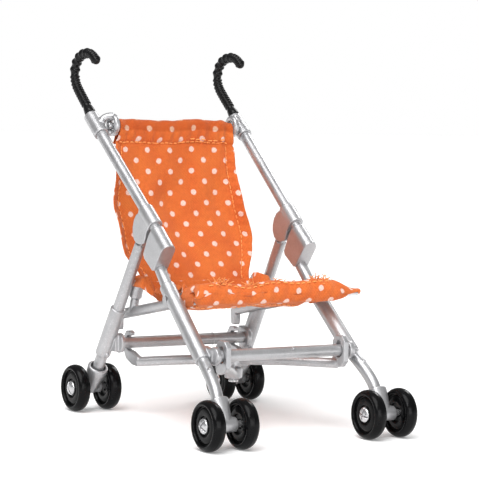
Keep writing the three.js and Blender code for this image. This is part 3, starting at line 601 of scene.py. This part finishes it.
# ------------------------------------------------------------------ cloth
def cloth(name, fn, nu, nv, uvfn, body=None):
    """Grid sheet from fn(u, v) -> point in mm; u across, v along. UVs in mm."""
    V = np.array([[fn(u, v) for u in np.linspace(-1, 1, nu)] for v in np.linspace(0, 1, nv)])
    idx = np.arange(nu * nv).reshape(nv, nu)
    F = [(idx[j, i], idx[j, i + 1], idx[j + 1, i + 1], idx[j + 1, i]) for j in range(nv - 1) for i in range(nu - 1)]
    me = bpy.data.meshes.new(name)
    me.from_pydata([tuple(p * MM) for p in V.reshape(-1, 3)], [], [tuple(int(k) for k in f) for f in F])
    uvl = me.uv_layers.new(name="cloth")
    uvs = np.array([[uvfn(u, v) for u in np.linspace(-1, 1, nu)] for v in np.linspace(0, 1, nv)]).reshape(-1, 2)
    li = np.zeros(len(me.loops), np.int32)
    me.loops.foreach_get("vertex_index", li)
    uvl.data.foreach_set("uv", uvs[li].ravel())
    area = 0.0
    A = V[1:, 1:] - V[:-1, :-1]; B = V[1:, :-1] - V[:-1, 1:]
    area = float(np.linalg.norm(np.cross(A, B), axis=2).sum() / 2)
    return me, V, area * 1e-6


def solidify(me, name, t):
    o = bpy.data.objects.new(name + ".tmp", me)
    bpy.context.scene.collection.objects.link(o)
    sm = o.modifiers.new("s", "SOLIDIFY"); sm.thickness = t * MM; sm.offset = 0
    bpy.context.view_layer.update()
    m2_ = bpy.data.meshes.new_from_object(o.evaluated_get(bpy.context.evaluated_depsgraph_get()))
    bpy.data.objects.remove(o, do_unlink=True)
    m2_.name = name
    return m2_


def path_at(ctrl, n=400):
    pts, length = smooth_path([np.array([0, a, b]) for a, b in ctrl], n)
    s = np.linspace(0, 1, n)
    return lambda v: np.array([np.interp(v, s, pts[:, 1]), np.interp(v, s, pts[:, 2])]), length


def noise1(seed, n=6):
    g = np.random.default_rng(seed)
    a, ph = g.normal(size=n), g.uniform(0, 2 * math.pi, n)
    return lambda t: sum(a[k] * math.sin((k + 1) * 2.1 * t + ph[k]) / (k + 1) for k in range(n))


def arc_u(V):
    """Width positions of each grid point in the laid-flat sheet, mm."""
    du = np.linalg.norm(np.diff(V, axis=1), axis=2)
    su = np.concatenate([np.zeros((V.shape[0], 1)), np.cumsum(du, 1)], 1)
    return su - su[:, V.shape[1] // 2][:, None]


def hem_puffs(u, lo, hi):
    return max(0.0, min(1.0, (u - lo) / (hi - lo)))


def sm(x):
    x = max(0.0, min(1.0, x))
    return x * x * (3 - 2 * x)


def stitches(name, pts, step, length, r, mat, body_cb, wob=0.12, seed=1, nodes=("backrest_fabric",)):
    """A row of short raised thread stitches along the points (mm), each a bowed capsule."""
    g = np.random.default_rng(seed)
    pts = np.asarray(pts, float)
    s_ = np.concatenate([[0], np.cumsum(np.linalg.norm(np.diff(pts, axis=0), axis=1))])
    at_ = lambda q: np.array([np.interp(q, s_, pts[:, k]) for k in range(3)])
    parts, q = [], 0.1
    while q + length < s_[-1]:
        a_, m_, b_ = at_(q), at_(q + length / 2), at_(q + length)
        j = g.normal(0, wob, 3) * 0.5
        off = np.array([0.0, -0.14, 0.06])
        pth, _ = smooth_path([a_ + j * 0.5, m_ + off + j * 0.3, b_ + j * 0.5], 8)
        rr = np.full(8, r); rr[0] = rr[-1] = r * 0.35
        parts.append(sweep(pth, rr, 8))
        q += step * g.uniform(0.9, 1.12)
    o = piece(name, parts, mat, None, nodes, 0) if False else None
    me_ = to_mesh(name, parts)
    uvl_ = me_.uv_layers.new(name="cloth")
    co = np.zeros(len(me_.vertices) * 3); me_.vertices.foreach_get("co", co); co = co.reshape(-1, 3) / MM
    li_ = np.zeros(len(me_.loops), np.int32); me_.loops.foreach_get("vertex_index", li_)
    uvl_.data.foreach_set("uv", co[li_][:, [0, 2]].ravel())
    o = bpy.data.objects.new(name, me_)
    bpy.context.scene.collection.objects.link(o)
    me_.materials.append(mat); me_.shade_smooth()
    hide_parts(*nodes)
    body_cb(o)
    return o


# Backrest: from behind the casing, up over the rod, down the front and to the seat crease.
back_ctrl = [(24.0, 61.7), (24.0, 64.0), (23.8, 66.0), (23.2, 67.1), (22.3, 67.45), (21.4, 67.0), (21.0, 65.6), (21.25, 63.4), (21.55, 62.2), (21.3, 60.6),
             (20.7, 58.0), (19.9, 54.0), (18.9, 49.5), (17.4, 44.8), (15.2, 40.0), (13.0, 36.0), (11.3, 33.0), (10.0, 30.7), (9.3, 29.4)]
bk, bk_len = path_at(back_ctrl)
n1, n2, n3 = noise1(3), noise1(5), noise1(8)


def back_half(t, side_):
    h_ = 14.6 + 2.1 * math.sin(min(1.0, t * 1.35) * math.pi / 2) - 2.6 * sm((t - 0.80) / 0.2)
    h_ += 0.16 * n1(t * 5 + 2 * side_) * (0.3 + t)
    return h_ + (0.5 * sm((0.35 - t) / 0.35) if side_ else 0.45 + 0.75 * sm(t / 0.12) * (1 - sm((t - 0.8) / 0.2)))


def back_fn(u, v):
    y, z = bk(v)
    t = min(1.0, max(0.0, (65.0 - z) / 34.0))  # 0 at the rod, 1 at the crease
    x = u * back_half(t, u > 0) * (0.965 if v < 0.1 else 1.0)
    casing = sm((t + 0.0) / 0.05) if v > 0.2 else 0.0
    belly = math.sin(math.pi * min(1, t)) * (1 - u * u)
    y += 1.7 * belly
    # folds pulled from the corners and across the slack
    k = (0.35 + 0.65 * math.sin(math.pi * t)) * min(1, 3 * t + 0.15)
    y += 0.42 * math.sin(u * 8.2 + n2(t * 2) * 0.9 + 1.4 * t) * k
    y += 0.22 * math.sin(u * 15.0 - 7 * t + 0.8) * k
    y += 0.30 * math.sin(u * 21 + 3 * t + 1.0) * max(0, 1 - 3.2 * t) * (0.35 + 0.9 * max(0, u - 0.3))  # gathers under the casing
    # casing: puffs between the stitches and a dip along the stitch line
    if 0.06 < v < 0.30:
        dip = math.exp(-((z - 62.25) / 0.42) ** 2)
        y += 0.42 * dip
        y -= 0.20 * math.sin(x * 2.6 + 0.6 * math.sin(x)) * math.exp(-((z - 63.6) / 1.6) ** 2)
    # side hems: turned edge, a stitched dip inboard of it, then a slight forward curl
    d = (1 - abs(u)) * 15.5
    y -= 0.34 * math.exp(-((d - 0.55) / 0.55) ** 2) * (1 if v > 0.27 else 0.3)
    y += 0.26 * math.exp(-((d - 1.75) / 0.28) ** 2) * (1 if v > 0.27 else 0.0)
    y += 0.10 * math.sin(z * 3.1) * math.exp(-((d - 1.0) / 0.8) ** 2)
    e = max(0.0, (abs(u) - 0.84) / 0.16)
    y -= 0.9 * e * e * (0.35 + math.sin(math.pi * t))
    z += 0.18 * n3(u * 2.0) * (1 - t) * 0.6
    if v < 0.3:
        z += 0.55 * max(0.0, u - 0.5) * math.sin(u * 24) - 0.9 * max(0.0, u - 0.72)
    return P(x, y, z)


NU, NV = 191, 250
me, BV, area = cloth("back", back_fn, NU, NV, lambda u, v: (0, 0))
bu = arc_u(BV)
print("CLOTH back area mm2", area * 1e6, "len", bk_len)


def set_uv(me_, V, su, len_, off):
    uvl_ = me_.uv_layers["cloth"]
    vv = np.linspace(0, 1, V.shape[0])[:, None] * len_ + off + np.zeros_like(su)
    uvs = np.stack([su + 1.35, vv], 2).reshape(-1, 2)
    li_ = np.zeros(len(me_.loops), np.int32)
    me_.loops.foreach_get("vertex_index", li_)
    uvl_.data.foreach_set("uv", uvs[li_].ravel())


set_uv(me, BV, bu, bk_len, 1.1)
me = solidify(me, "backrest_fabric.sling", 0.24)
backrest = bpy.data.objects.new("backrest_fabric.sling", me)
bpy.context.scene.collection.objects.link(backrest)
me.materials.clear(); me.materials.append(CLOTH); me.shade_smooth()
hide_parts("backrest_fabric")
blend_back = lambda o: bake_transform(o)
blend_back(backrest)

vq = np.linspace(0, 1, NV)
zs = np.array([bk(v)[1] for v in vq])
row = int(np.argmin(np.abs(zs - 62.2) + (vq < 0.25) * 99))
lift = np.array([0, -0.22, 0.0])
stitches("backrest_casing.stitching", BV[row, 4:-4] + lift, 1.15, 0.98, 0.17, THREAD, blend_back, 0.2, 3)
stitches("backrest_casing.stitching_two", BV[row - 3, 120:-6] + lift * 1.3, 1.7, 1.25, 0.15, THREAD, blend_back, 0.5, 4)
for nm, col in (("left", 9), ("right", NU - 10)):
    cols = BV[row + 4:-6, col]
    c2_ = int(round((1.75 / 15.5) / 2 * (NU - 1)))
    cols = BV[row + 4:-8, c2_ if nm == "left" else NU - 1 - c2_]
    stitches(f"backrest_hem.stitching_{nm}", cols + lift * 0.9, 1.2, 1.0, 0.115, THREAD, blend_back, 0.10, 5)

# Seat: from the crease forwards, sagging between the rails, over the front rod and turned back above it.
seat_ctrl = [(10.0, 30.9), (9.0, 29.5), (6.4, 27.9), (2.0, 26.9), (-3.0, 26.4), (-8.0, 26.6), (-12.5, 27.2), (-16.0, 28.3), (-18.6, 28.5), (-20.3, 28.55), (-21.2, 29.3), (-21.45, 30.9), (-21.1, 32.3), (-20.2, 33.1), (-19.0, 33.0), (-18.0, 32.3), (-17.0, 31.4), (-15.6, 30.6)]
st, st_len = path_at(seat_ctrl)
m1, m2n, m3 = noise1(13), noise1(15), noise1(18)


def poly_at(ctrl, q):
    ctrl = np.asarray(ctrl, float)
    d_ = np.concatenate([[0], np.cumsum(np.linalg.norm(np.diff(ctrl, axis=0), axis=1))])
    q = max(0.0, min(1.0, q)) * d_[-1]
    return np.interp(q, d_, ctrl[:, 0]), np.interp(q, d_, ctrl[:, 1])


def seat_fn(u, v):
    y, z = st(v)
    front = sm((-16.6 - y) / 2.6) if v < 0.8 else 1.0   # 1 in the casing
    top = 23.2 + (15.9 - y) * 0.1934 + 1.2   # top line of the rail
    au, sg = abs(u), (1 if u > 0 else -1)
    # middle of the seat
    f = min(1.0, max(0.0, (9.5 - y) / 28.0))
    sag = math.sin(math.pi * f)
    zc = z + 0.40 * math.sin(u * 6 + m2n(f * 2)) * sag + 0.22 * math.sin(u * 15 + 9 * f) * sag * au
    # side of the seat: over the rail in front, a turned ruffle in the middle, over the socket behind
    ruf = 0.30 * math.sin(y * 1.5 + sg) + 0.12 * math.sin(y * 3.1 + 1)
    if au > 0.7:
        q = (au - 0.7) / 0.3
        mid = poly_at([(13.4, zc), (14.0, top + 0.5), (14.3, top + 2.0 + ruf), (14.9, top + 2.7 + ruf), (15.5, top + 1.9 + ruf)], q)
        fr = poly_at([(13.4, zc), (14.2, top + 0.9), (15.2, top + 1.9 + ruf), (16.2, top + 1.2 + ruf * 0.6), (16.85, top - 0.3), (16.85, top - 1.6), (16.5, top - 2.7)], q)
        bkp = poly_at([(13.4, zc), (14.0, 30.6), (15.2, 32.3 + ruf * 0.5), (16.6, 31.9 + ruf * 0.5), (17.25, 30.9), (17.1, 30.1)], q)
        wf, wb = sm((-9.8 - y) / 2.5), sm((y - 3.0) / 3.0)
        xs, zs_ = (np.array(mid) * (1 - wf - wb) + np.array(fr) * wf + np.array(bkp) * wb)
    else:
        xs, zs_ = au / 0.7 * 13.4, zc
    # casing round the front rod
    out = 24.6 if u > 0 else 17.9
    xcas = au * out
    x = sg * (xs * (1 - front) + xcas * front)
    z = zs_ * (1 - front) + z * front
    if front > 0:
        z += 0.22 * math.sin(x * 0.5 + 1.0) * front * (z > 30.5)
        z -= 0.55 * math.exp(-((x + 5.5) / 5.0) ** 2) * (z > 31) * front
        y += 0.16 * math.sin(x * 0.9 + 1.3 * z) * front
        y += 0.09 * math.sin(x * 2.1 - 1.1 * z) * front
        k = 1 - (0.80 * sm((x - 16.9) / 6.9) if u > 0 else 0.93 * sm((-x - 16.7) / 1.15))
        k = 1 - (1 - k) * front
        dy, dz = (y + 20.0) * k, (z - 30.2) * k
        tw = 1.1 * (1 - k)
        y, z = -20.0 + dy * math.cos(tw) - dz * math.sin(tw), 30.2 + dy * math.sin(tw) + dz * math.cos(tw)
    return P(x, y, z)


NU2, NV2 = 261, 230
me, SV, area2 = cloth("seat", seat_fn, NU2, NV2, lambda u, v: (0, 0))
su2 = arc_u(SV)
print("CLOTH seat area mm2", area2 * 1e6, "len", st_len)
set_uv(me, SV, su2, st_len, bk_len + 1.1)
me = solidify(me, "seat_fabric.sling", 0.24)
seat = bpy.data.objects.new("seat_fabric.sling", me)
bpy.context.scene.collection.objects.link(seat)
me.materials.clear(); me.materials.append(CLOTH); me.shade_smooth()
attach(seat, "seat_frame"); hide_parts("seat_fabric")
ride_seat = lambda o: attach(o, "seat_frame")

# frayed thread ends along the turned-back edge and the knots near the corners
g = np.random.default_rng(21)
tufts = []
for cx, n_, sp in ((-12.4, 30, 1.0), (-10.6, 14, 0.7), (-3.4, 26, 0.8), (3.0, 8, 0.8), (12.8, 34, 0.9), (15.2, 22, 0.8)):
    for _ in range(n_):
        x_ = cx + g.normal(0, sp * 0.55)
        base = P(x_, -19.6 + g.normal(0, 0.4), 32.75 + g.normal(0, 0.25) - (0.5 if -9 < x_ < -1 else 0))
        d_ = np.array([g.normal(0, 0.7), g.normal(-0.5, 0.5), g.normal(0.55, 0.5)])
        l_ = g.uniform(0.8, 2.3)
        d_ = d_ / np.linalg.norm(d_) * l_
        bend = g.normal(0, 0.25, 3)
        pth, _ = smooth_path([base, base + d_ * 0.5 + bend, base + d_ + bend * 0.4 + np.array([0, 0, -0.25])], 9)
        rr = np.linspace(0.15, 0.08, 9)
        tufts.append(sweep(pth, rr, 6))
me = to_mesh("seat_front.threads", tufts)
uvl_ = me.uv_layers.new(name="cloth")
to = bpy.data.objects.new("seat_front.threads", me)
bpy.context.scene.collection.objects.link(to)
me.materials.append(THREAD); me.shade_smooth()
ride_seat(to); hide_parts("seat_fabric")
rowf = int(0.80 * (NV2 - 1))
stitches("seat_front.stitching", SV[int(0.56 * (NV2 - 1)), 12:-40] + np.array([0, -0.1, -0.16]), 1.3, 1.0, 0.11, THREAD, ride_seat, 0.12, 6, ("seat_fabric",))
stitches("seat_front.stitching_top", SV[int(0.86 * (NV2 - 1)), 20:-46] + np.array([0, -0.12, 0.18]), 1.6, 1.1, 0.12, THREAD, ride_seat, 0.25, 7, ("seat_fabric",))


# ------------------------------------------------------------------ stage and light
def plane(name, size, z, mat):
    me_ = bpy.data.meshes.new(name)
    s_ = size / 2
    me_.from_pydata([(-s_, -s_, z), (s_, -s_, z), (s_, s_, z), (-s_, s_, z)], [], [(0, 1, 2, 3)])
    o = bpy.data.objects.new(name, me_)
    bpy.context.scene.collection.objects.link(o)
    me_.materials.append(mat)
    return o


fl, nt, b = new_mat("floor")
b.inputs["Base Color"].default_value = (0.97, 0.97, 0.97, 1)
b.inputs["Roughness"].default_value = 0.9
b.inputs["Specular IOR Level"].default_value = 0.1
b.inputs["Emission Color"].default_value = (1.0, 1.0, 1.0, 1.0)
b.inputs["Emission Strength"].default_value = 0.13
plane("floor", 6.0, 0.0, fl)

w = bpy.data.worlds.new("world")
w.use_nodes = True
wn = w.node_tree
wtc = node(wn, "ShaderNodeTexCoord")
wsep = node(wn, "ShaderNodeSeparateXYZ")
wn.links.new(wtc.outputs["Generated"], wsep.inputs[0])
wr = ramp(wn, wsep.outputs[2], [(0.0, gray(1.0)), (0.085, gray(1.0)), (0.16, gray(0.26)), (0.6, gray(0.26)), (1.0, gray(0.50))])
wn.links.new(wr.outputs[0], wn.nodes["Background"].inputs[0])
wn.nodes["Background"].inputs[1].default_value = 1.0
bpy.context.scene.world = w


def area_light(name, pos, look, size, power, color=(1, 1, 1)):
    d = bpy.data.lights.new(name, "AREA")
    d.shape = "RECTANGLE"; d.size, d.size_y = size; d.energy = power; d.color = color
    o = bpy.data.objects.new(name, d)
    bpy.context.scene.collection.objects.link(o)
    o.location = pos
    o.rotation_euler = (Vector(look) - Vector(pos)).to_track_quat("-Z", "Y").to_euler()
    return o


sun = bpy.data.objects.new("sun", bpy.data.lights.new("sun", "SUN"))
sun.data.energy = 2.5
sun.data.angle = math.radians(48)
bpy.context.scene.collection.objects.link(sun)
sun.rotation_euler = (Vector((0, 0, 0)) - Vector((-0.42, -0.30, 1.0))).to_track_quat("-Z", "Y").to_euler()
area_light("key", (-0.42, -0.42, 0.42), (0, 0, 0.04), (0.16, 0.16), 0.9)
area_light("front", (-0.10, -0.62, 0.14), (0, 0, 0.04), (0.45, 0.30), 1.5)
area_light("rim", (0.34, 0.20, 0.30), (0, 0, 0.04), (0.14, 0.14), 0.5)
bpy.context.scene.view_settings.view_transform = "Standard"
